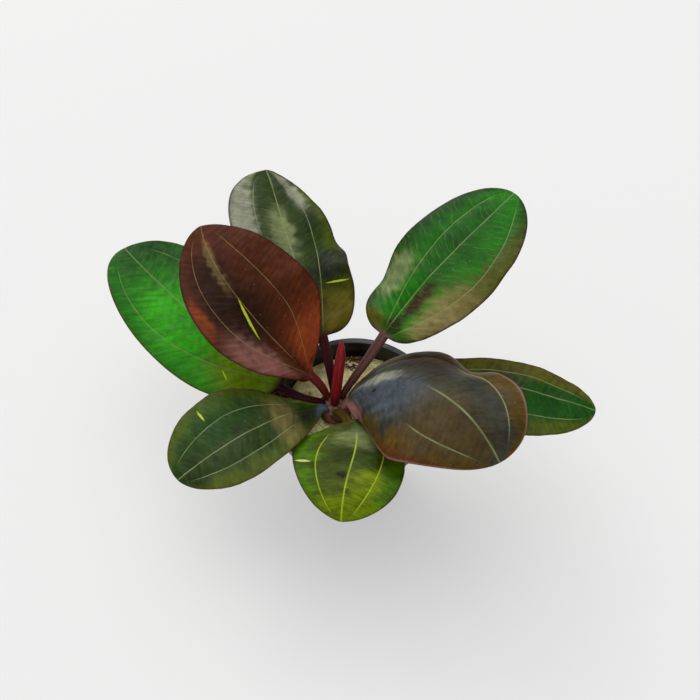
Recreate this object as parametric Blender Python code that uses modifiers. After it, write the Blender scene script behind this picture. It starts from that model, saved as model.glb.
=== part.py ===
"""A potted echinodorus, a rosette of eight broad leaves and a rolled young one in a black net pot.

Run it with: blender --background --python part.py
Metres, +Z up, real size. The origin is the centre of the pot's underside, and the plant leans over its rim.
The photograph looks along +Y and steeply down, so a leaf at -X lies on the picture's left.
"""

from math import cos, pi, radians, sin

import bmesh
import bpy
import numpy as np
from mathutils import Vector

for old in list(bpy.data.objects):
    bpy.data.objects.remove(old, do_unlink=True)

# Pot
POT_HEIGHT = 0.045
RIM_RADIUS = 0.0263
RIM_LIP = 0.0030
RIM_THICK = 0.0014
MOUTH_RADIUS = 0.0250
BASE_RADIUS = 0.0145
WALL = 0.0010
FLOOR = 0.0014
POT_STEPS = 36
SLOTS = 12
SLOT_WIDTH = 0.0030
SLOT_LOW = 0.0060
SLOT_HIGH = 0.0340

# Rockwool and crown
GAP = 0.0003
WOOL_TOP = 0.0398
CROWN_X = -0.0063
CROWN_Y = 0.0004
CROWN_RADIUS = 0.0050
CROWN_TOP = 0.0440
FOOT_RING = 0.0034

# A leaf's stalk and blade
STALK_FOOT = 0.00105
STALK_HEAD = 0.00170
STALK_HALF_THICK = 0.00105
BLADE_HALF_THICK = 0.00028
RIB_HEIGHT = 0.00025
RIB_SPREAD = 0.0012
STALK_RINGS = 6
BLADE_RINGS = 16
ACROSS = 10

# Each leaf: foot_at is the place of its foot on the crown, and azimuth and rise are the stalk's way out of it, all in
# degrees. Heading and pitch are the blade's way at its base, middle and tip. Half, widest, base and tip shape the
# left and right margins, and fold and curl bend the two halves up. A bend is side, place, spread and extra curl.
FLAT = (0, 0, 0)
LEAVES = {
    "leaf_far_left": dict(
        foot_at=177, azimuth=196, rise=35, petiole=0.016, heading=(148, 136, 126), pitch=(5, 6, 4), length=0.078,
        half=(0.0172, 0.0218), widest=(0.45, 0.58), base=(0.5, 0.5), tip=(0.42, 0.45),
        fold_left=(-5, -5, 0), fold_right=(0, 5, 0), curl_left=(-5, -5, 0), curl_right=FLAT,
    ),
    "leaf_back": dict(
        foot_at=92, azimuth=108, rise=68, petiole=0.020, heading=(108, 109, 112), pitch=(38, 17, 5), length=0.063,
        half=(0.0185, 0.0145), widest=(0.62, 0.32), base=(0.5, 0.34), tip=(0.36, 0.72),
        fold_left=(-25, 0, 5), fold_right=(10, 0, 0), curl_left=FLAT, curl_right=FLAT,
        bends=(("right", 0.30, 0.10, 40), ("right", 0.47, 0.08, -30)),
    ),
    "leaf_red": dict(
        foot_at=135, azimuth=146, rise=67, petiole=0.010, heading=(162, 138, 107), pitch=(45, 36, 15), length=0.060,
        half=(0.0162, 0.0222), widest=(0.48, 0.40), base=(0.85, 1.15), tip=(0.70, 0.46),
        fold_left=(30, 0, 0), fold_right=(40, 16, 0), curl_left=FLAT, curl_right=FLAT,
    ),
    "leaf_front_left": dict(
        foot_at=223, azimuth=212, rise=55, petiole=0.003, heading=(206, 214, 225), pitch=(32, 5, -18), length=0.052,
        half=(0.0155, 0.0165), widest=(0.62, 0.6), base=(0.9, 2.6), tip=(0.58, 0.5),
        fold_left=FLAT, fold_right=(25, 5, 0), curl_left=FLAT, curl_right=FLAT,
    ),
    "leaf_arched": dict(
        foot_at=322, azimuth=10, rise=70, petiole=0.004, heading=(3, -35, -57), pitch=(62, 16, -45), length=0.065,
        half=(0.0195, 0.0242), widest=(0.58, 0.52), base=(1.2, 0.80), tip=(0.50, 0.55),
        fold_left=(0, -5, 0), fold_right=(-5, -15, -10), curl_left=(-10, -18, 0), curl_right=(-10, -10, 0),
        bends=(("left", 0.57, 0.09, -26), ("left", 0.87, 0.12, 65)),
    ),
    "leaf_front": dict(
        foot_at=272, azimuth=320, rise=38, petiole=0.0085, heading=(290, 261, 264), pitch=(12, 1, -45), length=0.0345,
        half=(0.0160, 0.0180), widest=(0.5, 0.40), base=(0.6, 0.26), tip=(0.6, 0.70),
        fold_left=FLAT, fold_right=FLAT, curl_left=FLAT, curl_right=FLAT,
    ),
    "leaf_right": dict(
        foot_at=8, azimuth=5, rise=45, petiole=0.020, heading=(0, -8, -14), pitch=(5, -2, -10), length=0.061,
        half=(0.0120, 0.0160), widest=(0.5, 0.5), base=(0.6, 0.6), tip=(0.55, 0.55),
        fold_left=FLAT, fold_right=FLAT, curl_left=FLAT, curl_right=FLAT,
    ),
    "leaf_back_right": dict(
        foot_at=48, azimuth=20, rise=65, petiole=0.026, heading=(48, 40, 44), pitch=(35, 25, 12), length=0.061,
        half=(0.0165, 0.0190), widest=(0.5, 0.48), base=(0.38, 0.5), tip=(0.5, 0.55),
        fold_left=(10, 0, 0), fold_right=(10, 0, 0), curl_left=FLAT, curl_right=FLAT,
        bends=(("left", 0.22, 0.12, -40),),
    ),
}
LEAF_SLOTS = {
    "leaf_far_left": "leaf_bright_green",
    "leaf_back": "leaf_dark_green",
    "leaf_red": "leaf_red_brown",
    "leaf_front_left": "leaf_dark_green",
    "leaf_arched": "leaf_bronze",
    "leaf_front": "leaf_green",
    "leaf_right": "leaf_dark_green",
    "leaf_back_right": "leaf_green",
}

# The rolled young leaf: its foot in the middle of the crown, its length, its lean and its thickness along the way
YOUNG_LENGTH = 0.0260
YOUNG_RISE = 74
YOUNG_AZIMUTH = 66
YOUNG_RADIUS = 0.0018
YOUNG_SHAPE = ((0.0, 0.8), (0.25, 1.0), (0.6, 1.0), (0.85, 0.82), (0.95, 0.5), (1.0, 0.15))

COLORS = {
    "pot_black": ((0.012, 0.012, 0.014), 0.45),
    "rockwool_cream": ((0.52, 0.44, 0.25), 0.95),
    "crown_brown": ((0.13, 0.06, 0.035), 0.7),
    "leaf_bright_green": ((0.03, 0.20, 0.015), 0.4),
    "leaf_green": ((0.045, 0.11, 0.02), 0.4),
    "leaf_dark_green": ((0.028, 0.06, 0.022), 0.4),
    "leaf_red_brown": ((0.13, 0.045, 0.025), 0.4),
    "leaf_bronze": ((0.075, 0.065, 0.04), 0.35),
    "leaf_crimson": ((0.20, 0.03, 0.03), 0.4),
}

plant = bpy.data.collections.new("potted_echinodorus")
bpy.context.scene.collection.children.link(plant)
tools = bpy.data.collections.new("cutters")
bpy.context.scene.collection.children.link(tools)


def material(slot):
    """The Principled material of a slot, made once."""
    if slot in bpy.data.materials:
        return bpy.data.materials[slot]
    color, roughness = COLORS[slot]
    made = bpy.data.materials.new(slot)
    made.use_nodes = True
    shader = made.node_tree.nodes["Principled BSDF"]
    shader.inputs["Base Color"].default_value = (*color, 1.0)
    shader.inputs["Roughness"].default_value = roughness
    shader.inputs["Metallic"].default_value = 0.0
    made.diffuse_color = (*color, 1.0)
    return made


def add_object(name, mesh, slot, smooth=True):
    """Puts a mesh in the plant's collection as a named node with its slot's material."""
    node = bpy.data.objects.new(name, mesh)
    plant.objects.link(node)
    mesh.materials.append(material(slot))
    mesh.polygons.foreach_set("use_smooth", [smooth] * len(mesh.polygons))
    return node


def turned(name, profile, slot, steps):
    """A solid turned about Z from (radius, height) points that end on the axis."""
    mesh = bpy.data.meshes.new(name)
    points = [(radius, 0.0, height) for radius, height in profile]
    mesh.from_pydata(points, [(i, i + 1) for i in range(len(points) - 1)], [])
    node = add_object(name, mesh, slot)
    screw = node.modifiers.new("turn", "SCREW")
    screw.axis = "Z"
    screw.steps = steps
    screw.render_steps = steps
    screw.use_merge_vertices = True
    screw.merge_threshold = 0.00001
    return node


def smooth_step(x):
    """0 to 1 with a flat start and end."""
    x = np.clip(x, 0.0, 1.0)
    return x * x * (3.0 - 2.0 * x)


def along(values, t):
    """The curve through three values at t = 0, 1/2 and 1."""
    first, middle, last = values
    return first * (1 - t) * (1 - 2 * t) + 4 * middle * t * (1 - t) + last * t * (2 * t - 1)


def margin(t, widest, base, tip):
    """Half-width share: 0 at both ends and 1 at widest, rounder for a smaller base or tip."""
    near = np.clip((widest - t) / widest, 0.0, 1.0)
    far = np.clip((t - widest) / (1.0 - widest), 0.0, 1.0)
    return np.where(t < widest, (1.0 - near**2) ** base, (1.0 - far**2) ** tip)


def midrib(leaf, s):
    """Points, side and up vectors of a leaf's middle line at the distances s from its foot.

    The direction (cos pitch cos heading, cos pitch sin heading, sin pitch) is summed in small steps. The stalk eases
    from its azimuth and rise to the blade's first heading and pitch.
    """
    fine = np.linspace(0.0, leaf["petiole"] + leaf["length"], 601)
    ease = smooth_step(fine / leaf["petiole"])
    t = np.clip((fine - leaf["petiole"]) / leaf["length"], 0.0, 1.0)
    heading = leaf["azimuth"] * (1 - ease) + leaf["heading"][0] * ease + along(leaf["heading"], t) - leaf["heading"][0]
    pitch = leaf["rise"] * (1 - ease) + leaf["pitch"][0] * ease + along(leaf["pitch"], t) - leaf["pitch"][0]
    heading, pitch = np.radians(heading), np.radians(pitch)
    way = np.stack([np.cos(pitch) * np.cos(heading), np.cos(pitch) * np.sin(heading), np.sin(pitch)], -1)
    moved = np.cumsum((way[1:] + way[:-1]) / 2 * np.diff(fine)[:, None], axis=0)
    foot_at = radians(leaf["foot_at"])
    foot = (CROWN_X + FOOT_RING * cos(foot_at), CROWN_Y + FOOT_RING * sin(foot_at), CROWN_TOP + GAP)
    points = np.vstack([np.zeros(3), moved]) + foot
    side = np.stack([-np.sin(heading), np.cos(heading), np.zeros_like(heading)], -1)
    up = np.cross(way, side)
    points, side, up = (np.stack([np.interp(s, fine, a[:, k]) for k in range(3)], -1) for a in (points, side, up))
    return points, side, up


def leaf_sheet(leaf, s, v):
    """The leaf's middle surface at distances s along it and v from -1 at the right margin to 1 at the left one.

    Each half is an arc: it leaves the midrib at the fold angle and turns by the curl angle on its way to the margin.
    """
    points, side, up = midrib(leaf, s)
    q = np.clip(s / leaf["petiole"], 0.0, 1.0)[:, None]
    t = np.clip((s - leaf["petiole"]) / leaf["length"], 0.0, 1.0)[:, None]
    left = v[None, :] > 0
    share = [margin(t, *(leaf[key][k] for key in ("widest", "base", "tip"))) for k in (0, 1)]
    stalk = (STALK_FOOT + (STALK_HEAD - STALK_FOOT) * np.sqrt(q)) * (1 - t)
    width = stalk + (np.where(left, *leaf["half"]) - stalk) * np.where(left, *share)
    fold = np.where(left, along(leaf["fold_left"], t), along(leaf["fold_right"], t))
    curl = np.where(left, along(leaf["curl_left"], t), along(leaf["curl_right"], t))
    for where, place, spread, extra in leaf.get("bends", ()):
        curl = curl + np.where(left == (where == "left"), extra * np.exp(-(((t - place) / spread) ** 2)), 0.0)
    grown = smooth_step(t / 0.08)
    fold = np.radians(fold * grown)
    curl = np.radians(curl * grown)
    curl = np.where(np.abs(curl) < 1e-4, 1e-4, curl)
    angle = fold + curl * np.abs(v)
    across = width * (np.sin(angle) - np.sin(fold)) / curl
    lift = width * (np.cos(fold) - np.cos(angle)) / curl
    angle = np.where(np.abs(v) < 1e-6, 0.0, angle)
    sign = np.where(left, 1.0, -1.0)
    middle = points[:, None] + (across * sign)[..., None] * side[:, None] + lift[..., None] * up[:, None]
    normal = np.cos(angle)[..., None] * up[:, None] - (np.sin(angle) * sign)[..., None] * side[:, None]
    return middle, normal, t, across


def add_leaf(name, leaf, slot):
    """A loft of closed sections: an oval stalk that spreads into a thin blade with a raised midrib and one tip point."""
    stalk_s = np.linspace(0.0, leaf["petiole"], STALK_RINGS + 1)[:-1]
    blade_s = leaf["petiole"] + leaf["length"] * (1 - np.cos(pi * np.arange(BLADE_RINGS + 1) / BLADE_RINGS)) / 2
    s = np.concatenate([stalk_s, blade_s])
    v = np.sin(pi / 2 * np.linspace(-1.0, 1.0, ACROSS + 1))
    middle, normal, t, across = leaf_sheet(leaf, s, v)
    spread = smooth_step(t / 0.15)
    lens = np.sqrt(np.clip(1 - v[None, :] ** 2, 0.0, 1.0))
    rib = RIB_HEIGHT * spread * (1 - t) * np.exp(-((across / RIB_SPREAD) ** 2)) * (lens > 1e-6)
    half_thick = lens * (STALK_HALF_THICK * (1 - spread) + BLADE_HALF_THICK * spread) + rib
    top = middle + half_thick[..., None] * normal
    under = middle - half_thick[..., None] * normal
    rings = np.concatenate([top, under[:, -2:0:-1]], axis=1)
    around = rings.shape[1]
    points = np.vstack([rings[:-1].reshape(-1, 3), rings[-1].mean(axis=0)])
    # A slanting stalk's foot is flattened where it would dip into the crown.
    points[:, 2] = np.maximum(points[:, 2], CROWN_TOP + GAP)
    last = len(points) - 1
    faces = []
    for ring in range(len(rings) - 2):
        here = ring * around
        for k in range(around):
            after = (k + 1) % around
            faces.append((here + k, here + around + k, here + around + after, here + after))
    here = (len(rings) - 2) * around
    faces += [(here + k, last, here + (k + 1) % around) for k in range(around)]
    faces.append(tuple(range(around)))
    mesh = bpy.data.meshes.new(name)
    mesh.from_pydata(points.tolist(), [], faces)
    return add_object(name, mesh, slot)


def young_leaf():
    """The newest leaf, still rolled into a spindle, as a tapered round bar."""
    rise, azimuth = radians(YOUNG_RISE), radians(YOUNG_AZIMUTH)
    way = Vector((cos(rise) * cos(azimuth), cos(rise) * sin(azimuth), sin(rise)))
    foot = Vector((CROWN_X, CROWN_Y, CROWN_TOP + GAP))
    curve = bpy.data.curves.new("young_line", "CURVE")
    curve.dimensions = "3D"
    curve.bevel_depth = YOUNG_RADIUS
    curve.bevel_resolution = 2
    curve.use_fill_caps = True
    line = curve.splines.new("POLY")
    line.points.add(len(YOUNG_SHAPE) - 1)
    for point, (share, thick) in zip(line.points, YOUNG_SHAPE):
        point.co = (*(foot + way * YOUNG_LENGTH * share), 1.0)
        point.radius = thick
    path = bpy.data.objects.new("young_path", curve)
    plant.objects.link(path)
    bpy.context.view_layer.update()
    mesh = bpy.data.meshes.new_from_object(path)
    bpy.data.objects.remove(path, do_unlink=True)
    shell = bmesh.new()
    shell.from_mesh(mesh)
    bmesh.ops.remove_doubles(shell, verts=shell.verts, dist=0.00001)
    shell.to_mesh(mesh)
    shell.free()
    mesh.materials.clear()
    mesh.name = "leaf_young"
    # The foot is squared off level with the crown, so that it doesn't dip into it.
    for vertex in mesh.vertices:
        vertex.co.z = max(vertex.co.z, foot.z)
    return add_object("leaf_young", mesh, "leaf_crimson")


def pot():
    """The net pot: a tapered cup with a turned-down rim and upright slots."""
    top = POT_HEIGHT
    inner_mouth = MOUTH_RADIUS - WALL
    profile = (
        (0.0, FLOOR),
        (BASE_RADIUS - WALL, FLOOR),
        (inner_mouth, top - RIM_THICK),
        (inner_mouth + 0.0004, top),
        (RIM_RADIUS - 0.0004, top),
        (RIM_RADIUS, top - 0.0004),
        (RIM_RADIUS, top - RIM_LIP),
        (RIM_RADIUS - WALL, top - RIM_LIP),
        (RIM_RADIUS - WALL, top - RIM_THICK),
        (MOUTH_RADIUS, top - RIM_THICK),
        (BASE_RADIUS, 0.0),
        (0.0, 0.0),
    )
    cup = turned("net_pot", profile, "pot_black", POT_STEPS)
    cup.modifiers.new("slots", "BOOLEAN")
    cup.modifiers["slots"].object = slot_cutter()
    cup.modifiers["slots"].operation = "DIFFERENCE"
    cup.modifiers["slots"].solver = "EXACT"
    return cup


def slot_cutter():
    """Twelve thin blocks in a ring, for the slots."""
    shell = bmesh.new()
    for k in range(SLOTS):
        turn = 2 * pi * (k + 0.5) / SLOTS
        block = bmesh.ops.create_cube(shell, size=1.0)["verts"]
        for vertex in block:
            x = 0.0195 + 0.012 * vertex.co.x
            y = SLOT_WIDTH * vertex.co.y
            z = (SLOT_LOW + SLOT_HIGH) / 2 + (SLOT_HIGH - SLOT_LOW) * vertex.co.z
            vertex.co = (x * cos(turn) - y * sin(turn), x * sin(turn) + y * cos(turn), z)
    mesh = bpy.data.meshes.new("slot_cutter")
    shell.to_mesh(mesh)
    shell.free()
    cutter = bpy.data.objects.new("slot_cutter", mesh)
    tools.objects.link(cutter)
    cutter.hide_render = True
    cutter.display_type = "WIRE"
    return cutter


def rockwool():
    """The rockwool plug, which fills the pot up to just under its rim."""

    def radius(height):
        share = (height - FLOOR) / (POT_HEIGHT - RIM_THICK - FLOOR)
        return BASE_RADIUS - WALL + (MOUTH_RADIUS - BASE_RADIUS) * share - GAP

    low = FLOOR + GAP
    profile = ((0.0, WOOL_TOP), (radius(WOOL_TOP), WOOL_TOP), (radius(low), low), (0.0, low))
    return turned("rockwool", profile, "rockwool_cream", POT_STEPS)


def crown():
    """The short woody knob on the rockwool that every leaf stands on."""
    low = WOOL_TOP + GAP
    middle = (low + CROWN_TOP) / 2
    profile = (
        (0.0, CROWN_TOP),
        (CROWN_RADIUS - 0.0003, CROWN_TOP),
        (CROWN_RADIUS, CROWN_TOP - 0.0003),
        (CROWN_RADIUS + 0.0006, middle),
        (CROWN_RADIUS, low),
        (0.0, low),
    )
    knob = turned("crown", profile, "crown_brown", 24)
    knob.location = (CROWN_X, CROWN_Y, 0.0)
    return knob


pot()
rockwool()
crown()
for leaf_name, leaf_shape in LEAVES.items():
    add_leaf(leaf_name, leaf_shape, LEAF_SLOTS[leaf_name])
young_leaf()
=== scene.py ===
# %% [markdown]
# # The looks of a potted echinodorus
# An echinodorus is a bog plant that is sold in a small net pot for aquariums. It is a rosette: every leaf has a stalk
# that stands on one short crown, and a broad blade with veins that run from its foot to its tip. The CAD model gives
# the frame, with every leaf at its real size and place. This script replaces each plain solid by a finer surface of
# the same form and gives it its finish. All of it rides on one body, because nothing on the plant has a joint.

# %% Load the frame
from math import cos, pi, radians, sin

import bpy
import numpy as np
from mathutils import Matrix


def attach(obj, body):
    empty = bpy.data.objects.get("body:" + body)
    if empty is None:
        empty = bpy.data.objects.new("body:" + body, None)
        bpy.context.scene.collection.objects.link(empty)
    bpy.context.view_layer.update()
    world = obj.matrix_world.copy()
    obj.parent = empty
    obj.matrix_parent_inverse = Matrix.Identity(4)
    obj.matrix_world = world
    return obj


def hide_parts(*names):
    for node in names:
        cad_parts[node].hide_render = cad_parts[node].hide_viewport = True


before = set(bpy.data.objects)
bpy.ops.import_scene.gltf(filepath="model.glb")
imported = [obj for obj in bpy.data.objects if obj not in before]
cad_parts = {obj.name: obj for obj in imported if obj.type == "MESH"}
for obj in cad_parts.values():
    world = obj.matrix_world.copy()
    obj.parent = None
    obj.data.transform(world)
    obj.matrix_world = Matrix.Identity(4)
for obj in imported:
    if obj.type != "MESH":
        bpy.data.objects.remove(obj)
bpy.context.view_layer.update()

# %% [markdown]
# ## Small helpers for shapes
# A leaf is easiest to think of as a sheet with two coordinates: t runs from the blade's foot (0) to its tip (1), and v
# runs from the right margin (-1) over the midrib (0) to the left margin (1). Anything that changes slowly along the
# leaf, such as its width or its droop, is a curve through three values, at the foot, the middle and the tip.

# %% Curves and waves
MM = 0.001


def smooth_step(x):
    """0 below 0, 1 above 1, and 3x^2 - 2x^3 between them."""
    x = np.clip(x, 0.0, 1.0)
    return x * x * (3.0 - 2.0 * x)


def along(values, t):
    """The parabola through three values at t = 0, 1/2 and 1."""
    first, middle, last = values
    return first * (1 - t) * (1 - 2 * t) + 4 * middle * t * (1 - t) + last * t * (2 * t - 1)


def bump(x, place, spread):
    """A bell of height 1 at a place, which falls to 1/e at the spread."""
    return np.exp(-(((x - place) / spread) ** 2))


def waves(x, y, seed, shortest, longest, count=9):
    """A soft random field: the mean of sine waves with random ways, phases and lengths, between -1 and 1."""
    rng = np.random.default_rng(seed)
    total = np.zeros(np.broadcast(x, y).shape)
    for _ in range(count):
        turn, phase = rng.uniform(0, 2 * pi, 2)
        length = rng.uniform(shortest, longest)
        total += np.sin(2 * pi * (x * cos(turn) + y * sin(turn)) / length + phase)
    return total / count**0.5 / 1.6


print("a wave field ranges over", np.round(np.ptp(waves(np.linspace(0, 50, 400), 0.0, 1, 5, 12)), 2))

# %% [markdown]
# ## The leaves' shapes
# These are the CAD model's own numbers, in metres and degrees, so each fine leaf lies exactly on its solid. The stalk
# leaves the crown at an azimuth and a rise and eases into the blade's heading and pitch. Each half of the blade is an
# arc that leaves the midrib at a fold angle and turns by a curl angle on its way to the margin.

# %% Named sizes of crown, stalk and blade
CROWN_X = -0.0063
CROWN_Y = 0.0004
CROWN_TOP = 0.0440
FOOT_RING = 0.0034
GAP = 0.0003
STALK_FOOT = 0.00105
STALK_HEAD = 0.00170
STALK_HALF_THICK = 0.00105
BLADE_HALF_THICK = 0.00028
FLAT = (0, 0, 0)

LEAVES = {
    "leaf_far_left": dict(
        foot_at=177, azimuth=196, rise=35, petiole=0.016, heading=(148, 136, 126), pitch=(5, 6, 4), length=0.078,
        half=(0.0172, 0.0218), widest=(0.45, 0.58), base=(0.5, 0.5), tip=(0.42, 0.45),
        fold_left=(-5, -5, 0), fold_right=(0, 5, 0), curl_left=(-5, -5, 0), curl_right=FLAT,
    ),
    "leaf_back": dict(
        foot_at=92, azimuth=108, rise=68, petiole=0.020, heading=(108, 109, 112), pitch=(38, 17, 5), length=0.063,
        half=(0.0185, 0.0145), widest=(0.62, 0.32), base=(0.5, 0.34), tip=(0.36, 0.72),
        fold_left=(-25, 0, 5), fold_right=(10, 0, 0), curl_left=FLAT, curl_right=FLAT,
        bends=(("right", 0.30, 0.10, 40), ("right", 0.47, 0.08, -30)),
    ),
    "leaf_red": dict(
        foot_at=135, azimuth=146, rise=67, petiole=0.010, heading=(162, 138, 107), pitch=(45, 36, 15), length=0.060,
        half=(0.0162, 0.0222), widest=(0.48, 0.40), base=(0.85, 1.15), tip=(0.70, 0.46),
        fold_left=(30, 0, 0), fold_right=(40, 16, 0), curl_left=FLAT, curl_right=FLAT,
    ),
    "leaf_front_left": dict(
        foot_at=223, azimuth=212, rise=55, petiole=0.003, heading=(206, 214, 225), pitch=(32, 5, -18), length=0.052,
        half=(0.0155, 0.0165), widest=(0.62, 0.6), base=(0.9, 2.6), tip=(0.58, 0.5),
        fold_left=FLAT, fold_right=(25, 5, 0), curl_left=FLAT, curl_right=FLAT,
    ),
    "leaf_arched": dict(
        foot_at=322, azimuth=10, rise=70, petiole=0.004, heading=(3, -35, -57), pitch=(62, 16, -45), length=0.065,
        half=(0.0195, 0.0242), widest=(0.58, 0.52), base=(1.2, 0.80), tip=(0.50, 0.55),
        fold_left=(0, -5, 0), fold_right=(-5, -15, -10), curl_left=(-10, -18, 0), curl_right=(-10, -10, 0),
        bends=(("left", 0.57, 0.09, -26), ("left", 0.87, 0.12, 65)),
    ),
    "leaf_front": dict(
        foot_at=272, azimuth=320, rise=38, petiole=0.0085, heading=(290, 261, 264), pitch=(12, 1, -45), length=0.0345,
        half=(0.0160, 0.0180), widest=(0.5, 0.40), base=(0.6, 0.26), tip=(0.6, 0.70),
        fold_left=FLAT, fold_right=FLAT, curl_left=FLAT, curl_right=FLAT,
    ),
    "leaf_right": dict(
        foot_at=8, azimuth=5, rise=45, petiole=0.020, heading=(0, -8, -14), pitch=(5, -2, -10), length=0.061,
        half=(0.0120, 0.0160), widest=(0.5, 0.5), base=(0.6, 0.6), tip=(0.55, 0.55),
        fold_left=FLAT, fold_right=FLAT, curl_left=FLAT, curl_right=FLAT,
    ),
    "leaf_back_right": dict(
        foot_at=48, azimuth=20, rise=65, petiole=0.026, heading=(48, 40, 44), pitch=(35, 25, 12), length=0.061,
        half=(0.0165, 0.0190), widest=(0.5, 0.48), base=(0.38, 0.5), tip=(0.5, 0.55),
        fold_left=(10, 0, 0), fold_right=(10, 0, 0), curl_left=FLAT, curl_right=FLAT,
        bends=(("left", 0.22, 0.12, -40),),
    ),
}
print(len(LEAVES), "open leaves, the longest blade", max(leaf["length"] for leaf in LEAVES.values()) / MM, "mm")

# %% [markdown]
# ## From numbers to a sheet
# The midrib is found first: its direction at every small step comes from heading and pitch, and the steps are summed.
# Then each point of the sheet is placed beside it. Working on whole arrays keeps this fast: one call gives every
# point of a leaf.

# %% Midrib and sheet


def margin(t, widest, base, tip):
    """Half-width share: (1 - near^2)^base before the widest place and (1 - far^2)^tip after it."""
    near = np.clip((widest - t) / widest, 0.0, 1.0)
    far = np.clip((t - widest) / (1.0 - widest), 0.0, 1.0)
    return np.where(t < widest, (1.0 - near**2) ** base, (1.0 - far**2) ** tip)


def midrib(leaf, s):
    """Points, side and up vectors of the middle line at distances s from the foot.

    The direction is (cos pitch cos heading, cos pitch sin heading, sin pitch), summed in 600 steps.
    """
    fine = np.linspace(0.0, leaf["petiole"] + leaf["length"], 601)
    ease = smooth_step(fine / leaf["petiole"])
    t = np.clip((fine - leaf["petiole"]) / leaf["length"], 0.0, 1.0)
    heading = leaf["azimuth"] * (1 - ease) + leaf["heading"][0] * ease + along(leaf["heading"], t) - leaf["heading"][0]
    pitch = leaf["rise"] * (1 - ease) + leaf["pitch"][0] * ease + along(leaf["pitch"], t) - leaf["pitch"][0]
    heading, pitch = np.radians(heading), np.radians(pitch)
    way = np.stack([np.cos(pitch) * np.cos(heading), np.cos(pitch) * np.sin(heading), np.sin(pitch)], -1)
    moved = np.cumsum((way[1:] + way[:-1]) / 2 * np.diff(fine)[:, None], axis=0)
    foot_at = radians(leaf["foot_at"])
    foot = (CROWN_X + FOOT_RING * cos(foot_at), CROWN_Y + FOOT_RING * sin(foot_at), CROWN_TOP + GAP)
    points = np.vstack([np.zeros(3), moved]) + foot
    side = np.stack([-np.sin(heading), np.cos(heading), np.zeros_like(heading)], -1)
    up = np.cross(way, side)
    return [np.stack([np.interp(s, fine, a[:, k]) for k in range(3)], -1) for a in (points, side, up)]


def leaf_sheet(leaf, s, v):
    """Middle surface, its normals, t, half-width and distance across, for distances s and margins-to-margin v.

    With fold f, curl c and width w, a point lies w (sin(f + cv) - sin f) / c beside the midrib and
    w (cos f - cos(f + cv)) / c above it.
    """
    points, side, up = midrib(leaf, s)
    q = np.clip(s / leaf["petiole"], 0.0, 1.0)[:, None]
    t = np.clip((s - leaf["petiole"]) / leaf["length"], 0.0, 1.0)[:, None]
    left = v[None, :] > 0
    share = [margin(t, *(leaf[key][k] for key in ("widest", "base", "tip"))) for k in (0, 1)]
    stalk = (STALK_FOOT + (STALK_HEAD - STALK_FOOT) * np.sqrt(q)) * (1 - t)
    width = stalk + (np.where(left, *leaf["half"]) - stalk) * np.where(left, *share)
    fold = np.where(left, along(leaf["fold_left"], t), along(leaf["fold_right"], t))
    curl = np.where(left, along(leaf["curl_left"], t), along(leaf["curl_right"], t))
    for where, place, spread, extra in leaf.get("bends", ()):
        curl = curl + np.where(left == (where == "left"), extra * bump(t, place, spread), 0.0)
    grown = smooth_step(t / 0.08)
    fold = np.radians(fold * grown)
    curl = np.radians(curl * grown)
    curl = np.where(np.abs(curl) < 1e-4, 1e-4, curl)
    angle = fold + curl * np.abs(v)
    beside = width * (np.sin(angle) - np.sin(fold)) / curl * np.where(left, 1.0, -1.0)
    lift = width * (np.cos(fold) - np.cos(angle)) / curl
    angle = np.where(np.abs(v) < 1e-6, 0.0, angle) * np.where(left, 1.0, -1.0)
    middle = points[:, None] + beside[..., None] * side[:, None] + lift[..., None] * up[:, None]
    normal = np.cos(angle)[..., None] * up[:, None] - np.sin(angle)[..., None] * side[:, None]
    return middle, normal, t, width, beside


sample = leaf_sheet(LEAVES["leaf_red"], np.array([0.0, 0.03, 0.07]), np.array([-1.0, 0.0, 1.0]))[0]
print("the red leaf's tip is", np.round(sample[-1, 1] / MM, 1), "mm from the pot's middle")

# %% [markdown]
# ## A small box of colours
# The whole plant is painted from one box of named colours, as round 8-bit screen values. Most of them follow colours
# that were measured on the photograph, thinned out and rounded. Shaders need linear light, so a helper turns one
# into the other.

# %% Colours
# satin, and at places sage, rose, tan and slate, are painted sheen; ink and umber are at places painted shade
COLOURS = {
    "spring green": (60, 180, 0),
    "grass": (80, 125, 0),
    "leaf green": (30, 120, 0),
    "deep green": (20, 80, 0),
    "fir": (40, 60, 5),
    "moss": (75, 90, 15),
    "olive": (100, 90, 20),
    "yellow green": (130, 150, 0),
    "lime": (190, 210, 50),
    "cream": (230, 220, 140),
    "sage": (140, 150, 100),
    "satin": (160, 160, 140),
    "slate": (80, 90, 100),
    "smoke": (60, 60, 50),
    "bronze": (85, 65, 20),
    "umber": (35, 20, 5),
    "chestnut": (90, 40, 15),
    "rust": (160, 70, 30),
    "rose": (160, 110, 100),
    "maroon": (65, 20, 25),
    "wine": (120, 45, 40),
    "plum": (105, 70, 65),
    "tan": (150, 130, 80),
    "ink": (20, 20, 10),
}


def light(color):
    """Linear light of an 8-bit screen colour: ((c/255 + 0.055) / 1.055)^2.4, or c/255/12.92 when it is very dark."""
    c = np.asarray(COLOURS[color] if isinstance(color, str) else color, float) / 255.0
    return np.where(c <= 0.04045, c / 12.92, ((c + 0.055) / 1.055) ** 2.4)


print(len(COLOURS), "colours; moss is linear", light("moss").round(3))
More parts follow.
